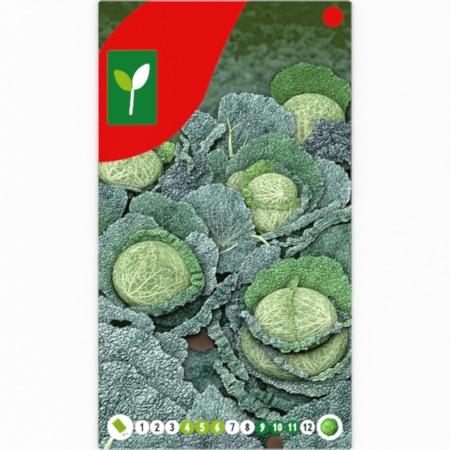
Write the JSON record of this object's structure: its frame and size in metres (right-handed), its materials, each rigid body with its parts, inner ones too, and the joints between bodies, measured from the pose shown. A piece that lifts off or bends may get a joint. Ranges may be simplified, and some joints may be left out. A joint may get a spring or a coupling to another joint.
{
  "type": "seed packet",
  "caption": "Flat paper seed packet with folded, gummed back flaps, a foil sachet inside it and round brassica seeds.",
  "frame": {"origin": "on the surface that the packet lies on, under the middle of its box", "axes": "+X across the packet, +Y towards its top edge, +Z out of the printed front"},
  "size_m": [0.09, 0.16, 0.0044],
  "materials": {
    "printed_paper": "satin print on white paper",
    "foil": "satin foil laminate",
    "gum": "dried gum film",
    "seed_coat": "matt dark brown seed coat"
  },
  "bodies": {
    "root": {"back_seam_gum": "gum", "bottom_flap_gum": "gum", "foil_sachet_back": "foil", "foil_sachet_front": "foil", "paper_envelope": "printed_paper", "seed_01": "seed_coat", "seed_02": "seed_coat", "seed_03": "seed_coat", "seed_04": "seed_coat", "seed_05": "seed_coat", "seed_06": "seed_coat", "seed_07": "seed_coat", "seed_08": "seed_coat", "seed_09": "seed_coat", "seed_10": "seed_coat", "seed_11": "seed_coat", "seed_12": "seed_coat", "seed_13": "seed_coat", "seed_14": "seed_coat", "seed_15": "seed_coat", "seed_16": "seed_coat", "seed_17": "seed_coat", "seed_18": "seed_coat", "seed_19": "seed_coat", "seed_20": "seed_coat", "seed_21": "seed_coat", "seed_22": "seed_coat", "seed_23": "seed_coat", "seed_24": "seed_coat", "seed_25": "seed_coat", "seed_26": "seed_coat", "seed_27": "seed_coat", "seed_28": "seed_coat", "seed_29": "seed_coat", "seed_30": "seed_coat", "seed_31": "seed_coat", "seed_32": "seed_coat", "seed_33": "seed_coat", "seed_34": "seed_coat", "seed_35": "seed_coat", "seed_36": "seed_coat", "seed_37": "seed_coat", "seed_38": "seed_coat", "seed_39": "seed_coat", "seed_40": "seed_coat", "top_flap_gum": "gum"}
  },
  "joints": []
}
